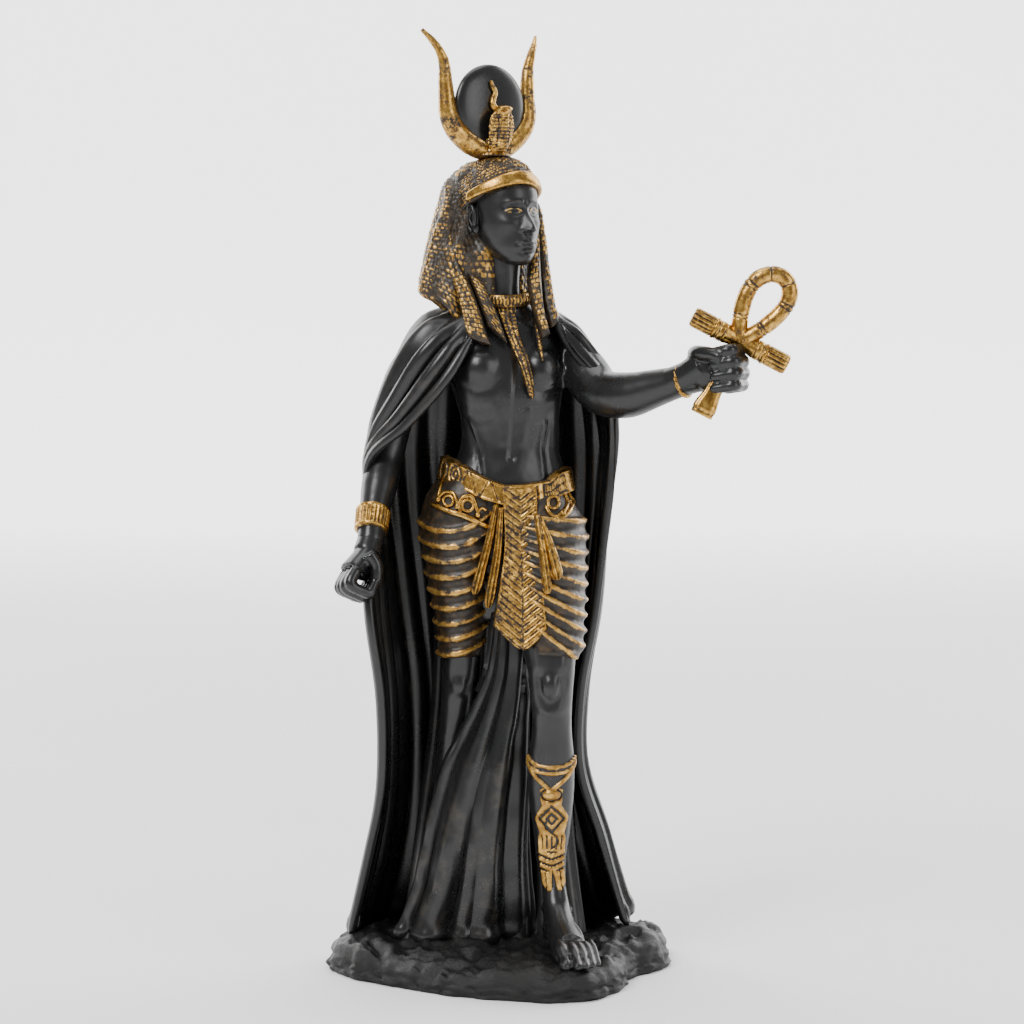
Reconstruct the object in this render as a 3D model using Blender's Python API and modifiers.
"""Standing goddess figure: a cloaked woman on a patch of rough ground, with a horned sun crown on her
headcloth and a looped cross held out in one fist. Three pieces: statue, crown and ankh.

X is the viewer's right, -Y faces the viewer, +Z is up. The origin is the middle of the flat underside.
Pose and carving follow the figure's height: one SHARE is a 285th of it."""

import math

import bmesh
import bpy
import numpy as np

# Driving dimensions, in metres
HEIGHT = 0.285
GROUND_LENGTH = 0.1056
GROUND_DEPTH = 0.0900
GROUND_THICKNESS = 0.0105
CLOAK_THICKNESS = 0.0034
DISC_DIAMETER = 0.0255
DISC_THICKNESS = 0.0066
HORN_SPREAD = 0.0430
HORN_THICKNESS = 0.0058
ANKH_LENGTH = 0.0478
ANKH_BAR_LENGTH = 0.0312
ANKH_BAR_THICKNESS = 0.0050
ANKH_LOOP_WIDTH = 0.0196
ANKH_LOOP_THICKNESS = 0.0049
ANKH_SHAFT_WIDTH = 0.0048
SEAT_GAP = 0.0003

# Pose, in degrees about the upright
HEAD_TURN = 37.0
CHEST_TURN = 10.0
ANKH_TILT = 25.8

# Reach of the ground's outline at each bearing from the viewer's right, as a share of the half size there
GROUND_OUTLINE = [
    (0.0, 0.97), (14.0, 1.03), (32.0, 1.12), (52.0, 1.10), (90.0, 0.97), (130.0, 1.02),
    (160.0, 1.00), (180.0, 1.00), (194.0, 0.96), (209.0, 0.88), (235.0, 0.82), (262.0, 0.92),
    (278.0, 1.04), (295.0, 1.12), (314.0, 0.98), (332.0, 0.82), (345.0, 0.84), (360.0, 0.97),
]

# How finely the cast form is carried
VOXEL_SHARE = 1.15
STATUE_KEEP_SHARE = 0.0352
SHARE = HEIGHT / 285.0


def smooth_rows(rows, count):
    """Rows run through by a smooth cubic, spaced by the distance between their first three numbers."""
    rows = np.asarray(rows, float)
    steps = np.linalg.norm(np.diff(rows[:, :3], axis=0), axis=1) + 1e-9
    knots = np.concatenate([[0.0], np.cumsum(steps)])
    slopes = np.gradient(rows, knots, axis=0) if len(rows) > 2 else np.repeat(
        (rows[1:] - rows[:1]) / knots[-1], 2, axis=0)
    at = np.linspace(0.0, knots[-1], count)
    i = np.clip(np.searchsorted(knots, at, side="right") - 1, 0, len(rows) - 2)
    span = (knots[i + 1] - knots[i])[:, None]
    t = (at - knots[i])[:, None] / span
    a = 2 * t**3 - 3 * t**2 + 1
    b = t**3 - 2 * t**2 + t
    c = -2 * t**3 + 3 * t**2
    d = t**3 - t**2
    return a * rows[i] + b * span * slopes[i] + c * rows[i + 1] + d * span * slopes[i + 1]


def shell_mesh(name, rings):
    """A closed tube of rings (levels, points round, 3), with a fan over each end."""
    levels, around = rings.shape[:2]
    mesh = bmesh.new()
    verts = [[mesh.verts.new(point) for point in ring] for ring in rings * SHARE]
    ends = [mesh.verts.new(ring.mean(axis=0) * SHARE) for ring in (rings[0], rings[-1])]
    for i in range(levels - 1):
        for j in range(around):
            k = (j + 1) % around
            mesh.faces.new((verts[i][j], verts[i][k], verts[i + 1][k], verts[i + 1][j]))
    for j in range(around):
        k = (j + 1) % around
        mesh.faces.new((ends[0], verts[0][k], verts[0][j]))
        mesh.faces.new((ends[1], verts[-1][j], verts[-1][k]))
    bmesh.ops.recalc_face_normals(mesh, faces=mesh.faces)
    data = bpy.data.meshes.new(name)
    mesh.to_mesh(data)
    mesh.free()
    return data


def stack(name, rows, around=28, count=24, turn=0.0, square=2.0):
    """Level sections one above another. Each row is x, y, z, half width, half depth."""
    rows = smooth_rows(rows, count)
    a = np.linspace(0.0, 2.0 * math.pi, around, endpoint=False)
    c = np.sign(np.cos(a)) * np.abs(np.cos(a)) ** (2.0 / square)
    s = np.sign(np.sin(a)) * np.abs(np.sin(a)) ** (2.0 / square)
    side = rows[:, 3:4] * c
    fore = rows[:, 4:5] * s
    t = math.radians(turn)
    x = rows[:, 0:1] + side * math.cos(t) - fore * math.sin(t)
    y = rows[:, 1:2] + side * math.sin(t) + fore * math.cos(t)
    z = np.repeat(rows[:, 2:3], around, axis=1)
    return bpy.data.objects.new(name, shell_mesh(name, np.stack([x, y, z], axis=2)))


def limb(name, rows, flat=1.0, facing=(0.0, 1.0, 0.0), around=16, count=20):
    """A round limb along a path. Each row is x, y, z, radius; flat narrows it along the facing direction."""
    rows = smooth_rows(rows, count)
    path = rows[:, :3]
    along = np.gradient(path, axis=0)
    along /= np.linalg.norm(along, axis=1, keepdims=True)
    across = np.cross(along, np.asarray(facing, float))
    across /= np.linalg.norm(across, axis=1, keepdims=True)
    fore = np.cross(across, along)
    a = np.linspace(0.0, 2.0 * math.pi, around, endpoint=False)[None, :, None]
    radius = rows[:, None, 3:4]
    rings = path[:, None] + radius * (np.cos(a) * across[:, None] + flat * np.sin(a) * fore[:, None])
    return bpy.data.objects.new(name, shell_mesh(name, rings))


def ball(name, centre, radii, turn=0.0):
    """An ellipsoid turned about the upright."""
    mesh = bmesh.new()
    bmesh.ops.create_uvsphere(mesh, u_segments=20, v_segments=12, radius=1.0)
    t = math.radians(turn)
    for vert in mesh.verts:
        x, y, z = (vert.co[i] * radii[i] for i in range(3))
        vert.co = ((centre[0] + x * math.cos(t) - y * math.sin(t)) * SHARE,
                   (centre[1] + x * math.sin(t) + y * math.cos(t)) * SHARE,
                   (centre[2] + z) * SHARE)
    data = bpy.data.meshes.new(name)
    mesh.to_mesh(data)
    mesh.free()
    return bpy.data.objects.new(name, data)


def sheet(name, grid, thickness):
    """A closed slab about a grid of points (rows, columns, 3), half its thickness to each side."""
    du = np.gradient(grid, axis=1)
    dv = np.gradient(grid, axis=0)
    normal = np.cross(du, dv)
    normal /= np.linalg.norm(normal, axis=2, keepdims=True) + 1e-12
    half = 0.5 * np.broadcast_to(np.asarray(thickness, float), grid.shape[:2])[..., None]
    faces = [grid + normal * half, grid - normal * half]
    rows, columns = grid.shape[:2]
    mesh = bmesh.new()
    front, back = ([[mesh.verts.new(p * SHARE) for p in row] for row in face] for face in faces)
    for i in range(rows - 1):
        for j in range(columns - 1):
            mesh.faces.new((front[i][j], front[i][j + 1], front[i + 1][j + 1], front[i + 1][j]))
            mesh.faces.new((back[i][j], back[i + 1][j], back[i + 1][j + 1], back[i][j + 1]))
    rim = [(0, j) for j in range(columns)] + [(i, columns - 1) for i in range(1, rows)]
    rim += [(rows - 1, j) for j in range(columns - 2, -1, -1)] + [(i, 0) for i in range(rows - 2, 0, -1)]
    for (i, j), (k, m) in zip(rim, rim[1:] + rim[:1]):
        mesh.faces.new((front[i][j], back[i][j], back[k][m], front[k][m]))
    bmesh.ops.recalc_face_normals(mesh, faces=mesh.faces)
    data = bpy.data.meshes.new(name)
    mesh.to_mesh(data)
    mesh.free()
    return bpy.data.objects.new(name, data)


def guided(guides, columns, rows):
    """A surface through guide lines that run from top to bottom, each at its own share of the way across."""
    lines = np.stack([smooth_rows(line, rows) for _, line in guides], axis=1)
    at = np.array([share for share, _ in guides])
    u = np.linspace(0.0, 1.0, columns)
    slopes = np.gradient(lines, at, axis=1)
    i = np.clip(np.searchsorted(at, u, side="right") - 1, 0, len(at) - 2)
    span = (at[i + 1] - at[i])[None, :, None]
    t = ((u - at[i]) / (at[i + 1] - at[i]))[None, :, None]
    a = 2 * t**3 - 3 * t**2 + 1
    b = t**3 - 2 * t**2 + t
    c = -2 * t**3 + 3 * t**2
    d = t**3 - t**2
    return a * lines[:, i] + b * span * slopes[:, i] + c * lines[:, i + 1] + d * span * slopes[:, i + 1]


def turned(x, y, degrees):
    t = math.radians(degrees)
    return x * math.cos(t) - y * math.sin(t), x * math.sin(t) + y * math.cos(t)


def body_forms():
    """Trunk, bust, neck and head."""
    trunk = stack("trunk", [
        (1.0, -2.5, 108.0, 9.0, 6.0),
        (0.5, 0.0, 122.0, 18.0, 11.0),
        (0.8, 0.5, 138.0, 22.0, 14.0),
        (1.6, 0.0, 149.0, 19.8, 13.0),
        (2.8, -1.0, 159.0, 15.2, 10.4),
        (3.0, -1.5, 167.0, 14.8, 10.2),
        (2.4, -1.5, 177.0, 16.6, 11.4),
        (1.2, -0.5, 187.0, 18.6, 11.4),
        (0.6, 1.0, 195.0, 18.6, 9.4),
        (0.6, 2.5, 200.5, 13.0, 7.4),
        (1.0, 2.0, 204.5, 7.0, 6.4),
    ], turn=CHEST_TURN, square=2.3)
    neck = limb("neck", [(1.0, 2.0, 200.0, 6.2), (1.2, 0.8, 208.0, 5.2), (1.2, 0.5, 218.0, 5.4)])
    bust = [
        ball("bust_left", (-5.6, -9.6, 182.4), (6.6, 5.6, 6.8), CHEST_TURN),
        ball("bust_right", (11.6, -6.8, 181.8), (6.4, 5.6, 6.8), CHEST_TURN),
    ]
    fx, fy = turned(0.0, -1.0, HEAD_TURN)
    cx, cy = 0.8, -0.6
    head = [
        ball("skull", (cx, cy, 231.5), (9.4, 11.6, 11.5), HEAD_TURN),
        stack("jaw", [
            (cx + 5.4 * fx, cy + 5.4 * fy, 213.9, 2.6, 3.2),
            (cx + 4.6 * fx, cy + 4.6 * fy, 215.6, 5.0, 5.8),
            (cx + 3.0 * fx, cy + 3.0 * fy, 219.5, 7.2, 8.0),
            (cx + 1.6 * fx, cy + 1.6 * fy, 225.0, 8.6, 9.6),
            (cx + 0.6 * fx, cy + 0.6 * fy, 231.0, 9.2, 10.8),
        ], turn=HEAD_TURN, square=2.2),
        limb("nose", [
            (cx + 11.0 * fx, cy + 11.0 * fy, 229.8, 1.1),
            (cx + 12.2 * fx, cy + 12.2 * fy, 226.6, 1.3),
            (cx + 12.8 * fx, cy + 12.8 * fy, 223.6, 1.8),
            (cx + 11.2 * fx, cy + 11.2 * fy, 222.4, 1.8),
        ], around=8, count=6),
    ]
    return [trunk, neck, *bust, *head]


def wig_forms():
    """Headcloth: a dome over the skull, a flap behind each cheek and a lappet down each side of the chest."""
    bx, by = turned(0.0, 1.0, HEAD_TURN)
    dome = ball("dome", (0.8 + 2.6 * bx, -0.6 + 2.6 * by, 234.6), (12.2, 14.8, 13.6), HEAD_TURN)
    crest = ball("crest", (-1.5, 1.5, 244.0), (6.4, 6.4, 4.0), HEAD_TURN)
    back = stack("wig_back", [
        (-1.0 + 3.0 * bx, 1.5 + 3.0 * by, 243.0, 10.2, 8.6),
        (-1.4 + 4.2 * bx, 1.5 + 4.2 * by, 236.0, 14.0, 9.8),
        (-2.6 + 5.0 * bx, 1.3 + 5.0 * by, 226.0, 15.6, 9.4),
        (-3.4 + 4.2 * bx, 1.3 + 4.2 * by, 215.0, 18.0, 8.8),
        (-3.4 + 3.0 * bx, 2.0 + 3.0 * by, 206.5, 20.2, 8.4),
        (-2.4 + 2.0 * bx, 3.0 + 2.0 * by, 200.5, 17.5, 7.0),
    ], turn=0.6 * HEAD_TURN, square=2.4)
    left = guided([
        (0.0, [(-11.0, -3.5, 232.0), (-12.6, -6.0, 222.0), (-13.0, -8.5, 212.0), (-12.0, -10.0, 203.0),
               (-6.0, -12.0, 198.0)]),
        (0.5, [(-9.0, -5.5, 230.0), (-8.6, -7.8, 221.0), (-7.4, -10.0, 212.0), (-6.0, -12.0, 204.0),
               (-2.0, -13.5, 197.0)]),
        (1.0, [(-7.4, -6.4, 227.0), (-5.4, -7.8, 219.0), (-3.4, -9.6, 211.0), (-1.6, -11.6, 203.5),
               (1.5, -13.4, 196.0)]),
    ], 5, 14)
    right = guided([
        (0.0, [(10.4, -3.0, 228.0), (10.0, -5.0, 220.0), (9.6, -6.6, 212.0), (10.6, -8.0, 205.0),
               (13.4, -9.6, 196.0)]),
        (0.5, [(11.6, 0.0, 228.0), (12.0, -2.2, 220.0), (12.2, -4.8, 212.0), (13.0, -6.6, 205.0),
               (15.0, -8.4, 197.5)]),
        (1.0, [(12.4, 3.0, 229.0), (13.4, 1.4, 220.0), (14.8, -1.6, 210.0), (16.0, -3.6, 203.0),
               (17.0, -5.6, 198.0)]),
    ], 5, 14)
    return [dome, crest, back, sheet("lappet_left", left, 3.0), sheet("lappet_right", right, 3.0)]


def leg_forms():
    """Bare legs and the foot that steps forward."""
    front = limb("front_leg", [
        (11.5, -4.0, 138.0, 12.6),
        (13.0, -9.5, 122.0, 11.4),
        (14.4, -15.0, 106.0, 9.2),
        (15.4, -18.5, 93.0, 6.9),
        (15.4, -18.8, 87.0, 6.5),
        (15.7, -17.4, 78.0, 6.0),
        (15.8, -15.6, 66.0, 7.2),
        (16.2, -13.8, 54.0, 7.3),
        (17.4, -13.4, 40.0, 5.7),
        (18.2, -14.0, 28.0, 4.4),
        (18.2, -14.4, 20.0, 4.5),
        (17.8, -14.0, 12.0, 4.6),
    ], count=34)
    kneecap = ball("kneecap", (14.6, -23.0, 89.0), (3.6, 2.8, 4.6))
    foot = limb("foot", [
        (16.4, -10.5, 13.4, 4.0),
        (17.6, -16.0, 14.6, 4.9),
        (19.4, -24.0, 13.6, 5.2),
        (21.4, -32.0, 11.6, 5.9),
        (22.6, -38.0, 10.2, 5.6),
        (23.0, -41.6, 9.6, 4.2),
    ], flat=0.62, facing=(0.0, 0.0, 1.0))
    rear = limb("rear_leg", [
        (-9.5, -1.5, 138.0, 12.8),
        (-12.0, -2.5, 122.0, 11.6),
        (-13.6, -3.0, 106.0, 9.4),
        (-15.0, -3.0, 92.0, 7.2),
        (-15.6, -2.0, 84.0, 6.6),
        (-17.0, 2.0, 68.0, 6.0),
        (-19.0, 6.0, 48.0, 6.4),
        (-19.6, 9.0, 22.0, 5.4),
        (-19.6, 9.0, 10.0, 5.4),
    ], count=26)
    return [front, kneecap, foot, rear]


def fist(name, wrist, centre, across, thumb_side, size):
    """Four curled fingers side by side, a thumb over them and the back of the hand."""
    wrist, centre, across = (np.asarray(v, float) for v in (wrist, centre, across))
    along = centre - wrist
    along /= np.linalg.norm(along)
    across = across - along * (across @ along)
    across /= np.linalg.norm(across)
    palm = np.cross(along, across) * thumb_side
    forms = []
    back = [wrist, wrist + 0.55 * (centre - wrist) + palm * -0.5 * size, centre + palm * -0.28 * size]
    widths = [0.52 * size, 0.66 * size, 0.72 * size]
    forms.append(limb(name + "_back", [(*p, w) for p, w in zip(back, widths)], 0.62, palm, count=10))
    for k in range(4):
        side = (k - 1.5) * 0.36 * size
        root = centre + across * side - palm * 0.34 * size + along * 0.1 * size
        knuckle = root + along * 0.62 * size
        middle = knuckle + palm * 0.78 * size - along * 0.02 * size
        tip = middle - along * 0.62 * size + palm * 0.1 * size
        r = (0.225 if k in (1, 2) else 0.21) * size
        path = [(*root, r * 1.1), (*knuckle, r * 1.08), (*middle, r), (*tip, r * 0.85)]
        forms.append(limb(name + "_finger", path, around=10, count=12))
    near = centre - across * 0.62 * size - along * 0.35 * size
    forms.append(limb(name + "_thumb", [
        (*(near - palm * 0.1 * size - along * 0.3 * size), 0.30 * size),
        (*(near + palm * 0.32 * size), 0.27 * size),
        (*(centre - across * 0.48 * size + along * 0.22 * size + palm * 0.56 * size), 0.22 * size),
    ], around=10, count=10))
    return forms


def arm_forms():
    """The left arm of the picture hangs and grips the cloak's edge; the right one reaches out."""
    hanging = limb("hanging_arm", [
        (-20.5, 0.0, 193.0, 8.2),
        (-27.5, 0.5, 182.0, 6.8),
        (-32.4, 1.5, 168.0, 5.9),
        (-34.6, 0.5, 158.0, 5.6),
        (-36.4, -5.0, 149.0, 5.7),
        (-38.0, -12.0, 139.0, 4.7),
        (-38.8, -16.0, 132.0, 4.2),
    ], count=26)
    reaching = limb("reaching_arm", [
        (20.0, 4.5, 192.0, 8.2),
        (25.0, -1.0, 184.0, 7.0),
        (31.0, -9.0, 177.0, 6.9),
        (38.0, -15.0, 176.4, 6.9),
        (46.0, -20.5, 178.6, 5.7),
        (54.0, -26.0, 181.0, 4.6),
        (59.0, -29.0, 182.3, 4.4),
    ], facing=(0.0, 0.0, 1.0), count=26)
    cuff = limb("cuff", [(-38.1, -10.6, 141.4, 5.7), (-38.9, -14.4, 135.2, 5.5)], count=4)
    left = fist("left_fist", (-38.6, -15.5, 132.5), (-41.8, -20.0, 123.4), (-0.25, 1.0, 0.0), 1.0, 8.2)
    right = fist("right_fist", (58.0, -28.6, 182.2), (66.0, -31.8, 182.4), (0.0, 0.0, -1.0), -1.0, 8.8)
    return [hanging, reaching, cuff, *left, *right]


def kilt_forms():
    """Kilt round each thigh, low belt, pointed apron and the sash tails beside it."""
    left = stack("kilt_left", [
        (-9.0, -1.0, 150.0, 10.0, 13.0),
        (-10.0, -1.5, 140.0, 12.6, 14.6),
        (-11.6, -2.5, 125.0, 12.0, 13.4),
        (-13.0, -3.0, 110.0, 10.0, 11.2),
        (-13.6, -3.0, 98.0, 8.6, 9.4),
    ])
    right = stack("kilt_right", [
        (12.0, -1.5, 150.0, 9.6, 13.0),
        (12.6, -4.0, 140.0, 12.2, 14.6),
        (13.6, -8.5, 125.0, 12.0, 13.6),
        (15.0, -13.0, 110.0, 10.2, 11.4),
        (15.8, -16.0, 101.0, 8.8, 9.6),
    ])
    belt = stack("belt", [
        (1.2, -0.6, 142.5, 22.2, 14.8),
        (1.4, -0.6, 146.0, 22.4, 15.0),
        (1.6, -0.4, 150.0, 21.0, 14.2),
        (2.0, -0.2, 153.0, 19.4, 12.6),
    ], turn=3.0)
    apron = guided([
        (0.0, [(0.6, -15.4, 149.0), (0.2, -17.4, 138.0), (-0.8, -19.6, 122.0), (-1.8, -21.4, 107.5)]),
        (0.5, [(6.6, -16.6, 148.0), (6.8, -19.0, 136.0), (7.0, -22.0, 120.0), (7.0, -24.6, 103.0)]),
        (1.0, [(12.6, -15.6, 149.0), (14.4, -18.6, 138.0), (16.4, -22.4, 122.0), (17.2, -25.2, 107.5)]),
    ], 7, 10)
    tails = []
    for name, foot in (("sash_left", (-9.0, -15.5, 114.0)), ("sash_right", (20.4, -19.6, 117.0))):
        head = (1.0, -16.2, 144.0) if foot[0] < 0 else (12.6, -17.0, 144.0)
        middle = [0.5 * (a + b) for a, b in zip(head, foot)]
        tails.append(limb(name, [(*head, 1.4), (*middle, 2.4), (*foot, 3.6)], flat=0.4, count=8, around=10))
    return [left, right, belt, sheet("apron", apron, 1.8), *tails]


def cloak_forms():
    """The cloak hangs from both shoulders to the ground; its left edge is held in the hanging hand."""
    grid = guided([
        (0.00, [(-5.0, -10.5, 197.5), (-15.0, -14.0, 180.0), (-27.0, -12.0, 166.0), (-38.4, -7.0, 155.5),
                (-39.4, -2.0, 144.0), (-38.6, -13.0, 130.0), (-36.2, -19.0, 112.0), (-33.4, -17.0, 85.0),
                (-33.6, -15.0, 55.0), (-36.6, -14.0, 36.0), (-45.0, -11.0, 9.0)]),
        (0.14, [(-9.0, -6.0, 201.5), (-22.5, -10.0, 190.0), (-31.6, -6.0, 176.0), (-39.2, 0.0, 160.0),
                (-39.6, 4.0, 144.0), (-37.4, 1.0, 130.0), (-35.0, -4.0, 112.0), (-32.4, -4.0, 85.0),
                (-32.6, -3.0, 55.0), (-34.6, -1.0, 36.0), (-44.0, 2.0, 9.0)]),
        (0.30, [(-9.0, 3.0, 204.5), (-22.0, 4.0, 199.0), (-30.6, 7.0, 184.0), (-33.4, 11.0, 165.0),
                (-32.4, 13.0, 145.0), (-30.6, 13.0, 128.0), (-28.6, 13.0, 110.0), (-26.0, 14.0, 85.0),
                (-26.0, 16.0, 55.0), (-28.0, 19.0, 34.0), (-34.0, 23.0, 9.0)]),
        (0.52, [(1.0, 9.0, 205.0), (0.5, 13.0, 199.0), (0.0, 16.5, 184.0), (-1.0, 18.0, 165.0),
                (-1.5, 19.0, 145.0), (-2.0, 20.0, 128.0), (-2.0, 21.0, 110.0), (-2.5, 23.0, 85.0),
                (-2.5, 26.0, 55.0), (-1.5, 29.0, 34.0), (0.0, 35.0, 9.0)]),
        (0.72, [(11.0, 7.0, 203.5), (20.5, 9.0, 197.5), (25.6, 11.0, 184.0), (28.4, 13.0, 165.0),
                (28.0, 14.0, 145.0), (26.4, 14.5, 128.0), (24.4, 15.0, 110.0), (22.0, 16.5, 85.0),
                (21.8, 19.0, 58.0), (26.0, 22.0, 36.0), (33.0, 27.0, 9.0)]),
        (0.86, [(13.0, 0.0, 203.0), (23.2, -1.0, 194.5), (29.8, 1.0, 184.0), (33.2, 6.0, 166.0),
                (32.2, 9.0, 145.0), (30.6, 10.0, 128.0), (28.4, 10.0, 108.0), (25.0, 10.0, 85.0),
                (24.8, 10.5, 62.0), (31.0, 11.0, 40.0), (38.6, 14.0, 20.0)]),
        (1.00, [(15.0, -5.0, 200.5), (22.8, -8.5, 188.5), (31.6, -11.0, 178.6), (34.4, 0.0, 166.0),
                (33.4, 3.0, 145.0), (31.4, 3.0, 128.0), (29.0, 2.0, 108.0), (25.2, 2.0, 85.0),
                (24.9, 2.0, 62.0), (31.6, 3.0, 40.0), (39.6, 4.0, 16.0)]),
    ], 72, 64)
    du = np.gradient(grid, axis=1)
    dv = np.gradient(grid, axis=0)
    normal = np.cross(du, dv)
    normal /= np.linalg.norm(normal, axis=2, keepdims=True)
    u = np.linspace(0.0, 1.0, grid.shape[1])[None, :]
    v = np.linspace(0.0, 1.0, grid.shape[0])[:, None]
    fold = (0.9 + 2.0 * v) * np.sin(2.0 * math.pi * (7.0 * u + 0.35 * np.sin(3.0 * v)))
    fold += (0.4 + 0.8 * v) * np.sin(2.0 * math.pi * (15.0 * u + 0.6 * v) + 1.0)
    fold *= np.sin(math.pi * np.clip(u, 0.0, 1.0)) ** 0.6
    grid = grid + normal * (fold * np.clip(v * 4.0, 0.0, 1.0))[..., None]
    cloak = sheet("cloak", grid, CLOAK_THICKNESS / SHARE)
    panel = guided([
        (0.0, [(-2.0, -10.0, 112.0), (-6.0, -14.0, 90.0), (-13.5, -16.5, 68.0), (-20.5, -18.0, 45.0),
               (-20.0, -20.0, 24.0), (-19.0, -20.0, 9.0)]),
        (0.3, [(0.0, -11.5, 112.0), (-1.5, -16.0, 90.0), (-7.0, -19.0, 68.0), (-13.0, -21.0, 45.0),
               (-13.5, -25.0, 24.0), (-13.0, -27.0, 9.0)]),
        (0.6, [(3.0, -12.0, 112.0), (3.0, -15.0, 90.0), (0.5, -17.5, 68.0), (-4.0, -19.0, 45.0),
               (-4.0, -23.0, 24.0), (-3.0, -25.0, 9.0)]),
        (1.0, [(7.0, -9.0, 112.0), (8.0, -9.0, 90.0), (7.0, -10.0, 68.0), (5.0, -11.0, 45.0),
               (6.0, -13.0, 24.0), (8.0, -14.0, 9.0)]),
    ], 24, 30)
    v = np.linspace(0.0, 1.0, 30)[:, None]
    u = np.linspace(0.0, 1.0, 24)[None, :]
    panel[..., 1] -= 1.3 * v * np.sin(2.0 * math.pi * (3.0 * u - 0.5 * v))
    inner = guided([
        (0.0, [(-18.0, 10.0, 120.0), (-20.0, 6.0, 80.0), (-24.0, 2.0, 45.0), (-27.0, -10.0, 9.0)]),
        (0.5, [(0.0, 8.0, 120.0), (-2.0, 6.0, 80.0), (-4.0, 2.0, 45.0), (-4.0, -8.0, 9.0)]),
        (1.0, [(18.0, 8.0, 120.0), (20.0, 4.0, 80.0), (22.0, 2.0, 45.0), (26.0, -2.0, 9.0)]),
    ], 16, 16)
    return [cloak, sheet("panel", panel, 4.0), sheet("inner", inner, 5.0)]


def ground_form():
    """Rough patch of ground: uneven outline, broken top, flat underside."""
    around, levels = 96, 22
    a = np.linspace(0.0, 2.0 * math.pi, around, endpoint=False)[None, :]
    t = np.linspace(0.04, 1.0, levels)[:, None]
    bearings, reaches = zip(*GROUND_OUTLINE)
    reach = np.interp(np.degrees(a) % 360.0, bearings, reaches)
    for _ in range(3):
        reach = 0.25 * np.roll(reach, 1) + 0.5 * reach + 0.25 * np.roll(reach, -1)
    reach = reach * (1.0 + 0.008 * np.sin(9.0 * a) + 0.010 * np.sin(14.0 * a + 2.0))
    half_x, half_y = 0.5 * GROUND_LENGTH / SHARE, 0.5 * GROUND_DEPTH / SHARE
    share = np.sin(0.5 * math.pi * np.clip(t / 0.8, 0.0, 1.0)) ** 0.9
    share = share * (1.0 - 0.06 * np.clip((t - 0.8) / 0.2, 0.0, 1.0))
    x = half_x * reach * share * np.cos(a)
    y = half_y * reach * share * np.sin(a)
    rim = np.clip((t - 0.62) / 0.18, 0.0, 1.0)
    top = GROUND_THICKNESS / SHARE * (1.0 - 0.34 * np.clip(t / 0.7, 0.0, 1.0) ** 3)
    rough = 0.8 * np.sin(0.31 * x + 1.3 * np.sin(0.17 * y)) * np.sin(0.27 * y + 0.8)
    rough = rough + 0.5 * np.sin(0.63 * x + 0.41 * y) * np.sin(0.55 * y - 0.37 * x)
    z = (top + rough * np.clip(t / 0.3, 0.0, 1.0)) * (1.0 - rim) - 2.0 * rim
    return bpy.data.objects.new("ground", shell_mesh("ground", np.stack([x, y, z], axis=2)))


def crown_forms():
    """Lyre horns as one tapered curve, the sun disc between them, a rearing cobra and the neck below."""
    bx, by = turned(0.0, 1.0, HEAD_TURN)
    sx, sy = turned(1.0, 0.0, HEAD_TURN)
    cx, cy = -2.7, 0.6
    spread = 0.5 * HORN_SPREAD / SHARE
    thick = 0.5 * HORN_THICKNESS / SHARE
    half = [
        (0.00, 0.0, 250.2, 1.05), (0.27, 0.0, 251.0, 1.08), (0.46, 0.4, 254.2, 1.00),
        (0.59, 1.0, 259.5, 0.88), (0.66, 1.8, 266.0, 0.72), (0.73, 2.8, 273.0, 0.56),
        (0.85, 4.0, 279.8, 0.38), (1.00, 5.0, 284.9, 0.18),
    ]
    rows = [
        (cx + spread * s * sx + b * bx, cy + spread * s * sy + b * by, z, thick * r) for s, b, z, r in half
    ]
    other = [
        (cx - spread * s * sx + b * bx, cy - spread * s * sy + b * by, z, thick * r) for s, b, z, r in half[1:]
    ]
    horns = limb("horns", other[::-1] + rows, facing=(bx, by, 0.0), around=12, count=44)
    round_half = 0.5 * DISC_DIAMETER / SHARE
    thick_half = 0.5 * DISC_THICKNESS / SHARE
    disc = ball("disc", (cx, cy, 262.6), (round_half, thick_half, round_half), HEAD_TURN)
    neck = stack("neck", [
        (cx + 0.3, cy, 247.9, 5.4, 5.0),
        (cx + 0.1, cy, 249.2, 4.4, 3.6),
        (cx, cy, 251.4, 4.0, 3.0),
    ], around=20, count=5, turn=HEAD_TURN)
    cobra = stack("cobra", [
        (cx - 2.4 * bx, cy - 2.4 * by, 249.0, 2.0, 1.6),
        (cx - 3.6 * bx, cy - 3.6 * by, 251.6, 3.4, 1.7),
        (cx - 4.4 * bx, cy - 4.4 * by, 255.8, 4.2, 1.6),
        (cx - 5.0 * bx, cy - 5.0 * by, 259.4, 2.6, 1.9),
        (cx - 5.4 * bx, cy - 5.4 * by, 261.8, 1.7, 2.0),
        (cx - 5.2 * bx, cy - 5.2 * by, 263.2, 0.9, 1.1),
    ], around=14, count=12, turn=HEAD_TURN)
    tail = limb("tail", [
        (cx - 2.6 * bx, cy - 2.6 * by, 262.0, 1.0), (cx - 3.2 * bx - 0.8, cy - 3.2 * by, 266.0, 0.9),
        (cx - 2.6 * bx + 0.6, cy - 2.6 * by, 269.6, 0.8), (cx - 1.9 * bx, cy - 1.9 * by, 272.6, 0.6),
    ], facing=(bx, by, 0.0), around=8, count=10)
    return [horns, disc, neck, cobra, tail]


def ankh_point(across, up, ahead=0.0):
    """A point of the looped cross in the figure's frame, from the middle of its bar."""
    t = math.radians(ANKH_TILT)
    return (70.1 + across * math.cos(t) + up * math.sin(t), -32.8 - ahead,
            192.8 - across * math.sin(t) + up * math.cos(t))


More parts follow.
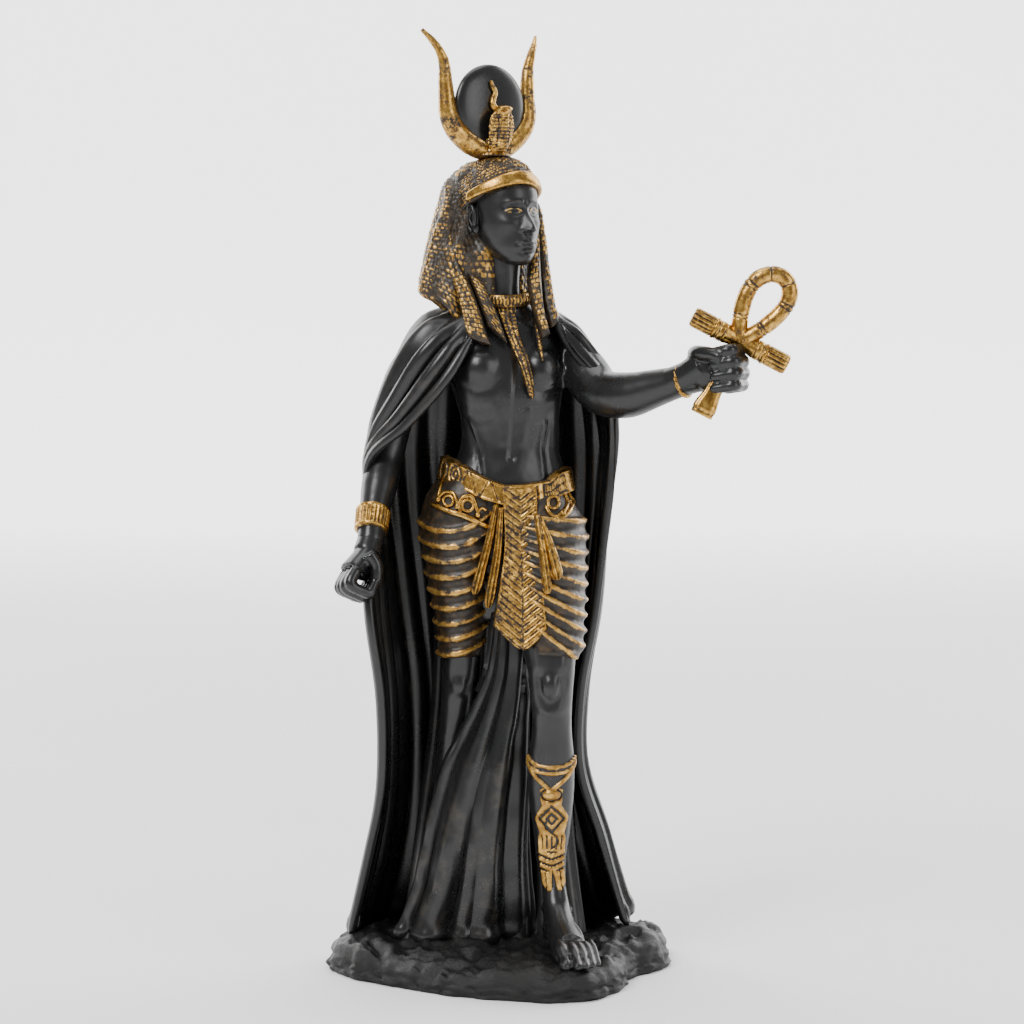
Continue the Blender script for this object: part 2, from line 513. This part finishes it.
def ankh_forms(grow=0.0):
    """Teardrop loop, bar with collared ends, crossed binding and flared shaft."""
    tube = 0.5 * ANKH_LOOP_THICKNESS / SHARE + grow
    bar = 0.5 * ANKH_BAR_THICKNESS / SHARE + grow
    reach = 0.5 * ANKH_BAR_LENGTH / SHARE
    down = ANKH_SHAFT_WIDTH / SHARE
    total = ANKH_LENGTH / SHARE
    loop_rise = 0.49 * total - tube
    wide = 0.5 * ANKH_LOOP_WIDTH / SHARE - tube
    loop = []
    for k in range(25):
        a = 2.0 * math.pi * k / 24.0
        pinch = 1.0 - 0.66 * (0.5 + 0.5 * math.cos(a)) ** 1.3
        side = 0.5 * (1.0 - math.cos(a)) - math.sin(a) * wide * pinch
        loop.append((*ankh_point(side, 0.6 + 0.5 * (loop_rise - 0.6) * (1.0 - math.cos(a))), tube))
    forward = (0.0, 1.0, 0.0)
    forms = [limb("loop", loop, facing=forward, around=12, count=44)]
    ends = [(*ankh_point(side * reach * 0.9, 0.0), bar * 0.86) for side in (-1.0, 1.0)]
    forms.append(limb("bar", ends, facing=forward, around=16, count=5))
    for side in (-1.0, 1.0):
        for start, end, r in ((0.62, 1.0, 1.12), (0.30, 0.44, 1.14)):
            path = [(*ankh_point(side * reach * share, 0.0), bar * r) for share in (start, end)]
            forms.append(limb("end", path, facing=forward, around=16, count=3))
        path = [
            (*ankh_point(-3.0 * side, -2.6), bar * 0.70),
            (*ankh_point(0.0, 0.0), bar * 0.74),
            (*ankh_point(3.0 * side, 2.6), bar * 0.70),
        ]
        forms.append(limb("binding", path, facing=forward, around=10, count=5))
    foot = -0.51 * total
    path = [
        (*ankh_point(0.0, 0.0), 0.44 * down + grow),
        (*ankh_point(0.0, 0.45 * foot), 0.46 * down + grow),
        (*ankh_point(0.0, 0.98 * foot), 0.62 * down + grow),
    ]
    forms.append(limb("shaft", path, flat=0.8, facing=forward, around=12, count=6))
    return forms


def mesh_of(obj):
    """The evaluated mesh of an object, on its own."""
    bpy.context.view_layer.update()
    graph = bpy.context.evaluated_depsgraph_get()
    return bpy.data.meshes.new_from_object(obj.evaluated_get(graph))


def joined(name, forms):
    """One object holding every form, still as separate closed bodies."""
    mesh = bmesh.new()
    for form in forms:
        mesh.from_mesh(form.data)
        bpy.data.objects.remove(form)
    bmesh.ops.recalc_face_normals(mesh, faces=mesh.faces)
    data = bpy.data.meshes.new(name)
    mesh.to_mesh(data)
    mesh.free()
    return bpy.data.objects.new(name, data)


def fused(obj, voxel, smoothing, keep):
    """Fuses overlapping bodies into one skin of about the given grain, smooths it and thins its triangles."""
    remesh = obj.modifiers.new("Fuse", "REMESH")
    remesh.mode = "VOXEL"
    remesh.voxel_size = voxel
    smooth = obj.modifiers.new("Smooth", "SMOOTH")
    smooth.factor = 0.5
    smooth.iterations = smoothing
    thin = obj.modifiers.new("Thin", "DECIMATE")
    thin.ratio = keep
    thin.use_collapse_triangulate = True
    data = mesh_of(obj)
    obj.modifiers.clear()
    obj.data = data
    return obj


def cut(obj, cutter, collection):
    """An exact Boolean that takes the cutter away."""
    collection.objects.link(cutter)
    cutter.display_type = "WIRE"
    cutter.hide_render = True
    modifier = obj.modifiers.new("Cut " + cutter.name, "BOOLEAN")
    modifier.operation = "DIFFERENCE"
    modifier.solver = "EXACT"
    modifier.object = cutter


def box(name, low, high):
    mesh = bmesh.new()
    bmesh.ops.create_cube(mesh, size=1.0)
    for vert in mesh.verts:
        vert.co = [0.5 * (low[i] + high[i]) + vert.co[i] * (high[i] - low[i]) for i in range(3)]
    data = bpy.data.meshes.new(name)
    mesh.to_mesh(data)
    mesh.free()
    return bpy.data.objects.new(name, data)


def material(name, colour, metallic, roughness):
    made = bpy.data.materials.new(name)
    made.use_nodes = True
    shader = made.node_tree.nodes["Principled BSDF"]
    shader.inputs["Base Color"].default_value = (*colour, 1.0)
    shader.inputs["Metallic"].default_value = metallic
    shader.inputs["Roughness"].default_value = roughness
    made.diffuse_color = (*colour, 1.0)
    return made


def main():
    for obj in list(bpy.data.objects):
        bpy.data.objects.remove(obj, do_unlink=True)
    pieces = bpy.data.collections.new("goddess_statue")
    cutters = bpy.data.collections.new("cutters")
    cutters.hide_render = True
    bpy.context.scene.collection.children.link(pieces)
    bpy.context.scene.collection.children.link(cutters)

    black = material("black_resin", (0.018, 0.018, 0.020), 0.0, 0.32)
    gold = material("gold_crown", (0.55, 0.36, 0.10), 0.6, 0.42)
    old_gold = material("gold_ankh", (0.58, 0.38, 0.11), 0.6, 0.40)

    forms = [*body_forms(), *wig_forms(), *leg_forms(), *arm_forms()]
    forms += [*kilt_forms(), *cloak_forms(), ground_form()]
    statue = joined("statue", forms)
    pieces.objects.link(statue)
    fused(statue, VOXEL_SHARE * SHARE, 2, STATUE_KEEP_SHARE)
    statue.data.materials.append(black)
    cut(statue, box("below_ground", (-0.2, -0.2, -0.05), (0.2, 0.2, 0.0)), cutters)
    low = (-12.0 * SHARE, -10.0 * SHARE, 247.9 * SHARE - SEAT_GAP)
    seat = box("crown_seat", low, (8.0 * SHARE, 10.0 * SHARE, 260.0 * SHARE))
    cut(statue, seat, cutters)
    channel = joined("ankh_channel", ankh_forms(grow=SEAT_GAP / SHARE))
    cutters.objects.link(channel)
    fused(channel, 0.45 * SHARE, 1, 0.045)
    cutters.objects.unlink(channel)
    cut(statue, channel, cutters)

    crown = joined("crown", crown_forms())
    pieces.objects.link(crown)
    fused(crown, 0.5 * SHARE, 1, 0.048)
    crown.data.materials.append(gold)
    low = (-14.0 * SHARE, -12.0 * SHARE, 240.0 * SHARE)
    foot = box("crown_foot", low, (10.0 * SHARE, 12.0 * SHARE, 247.9 * SHARE))
    cut(crown, foot, cutters)

    ankh = joined("ankh", ankh_forms())
    pieces.objects.link(ankh)
    fused(ankh, 0.45 * SHARE, 1, 0.045)
    ankh.data.materials.append(old_gold)


if __name__ == "__main__":
    main()
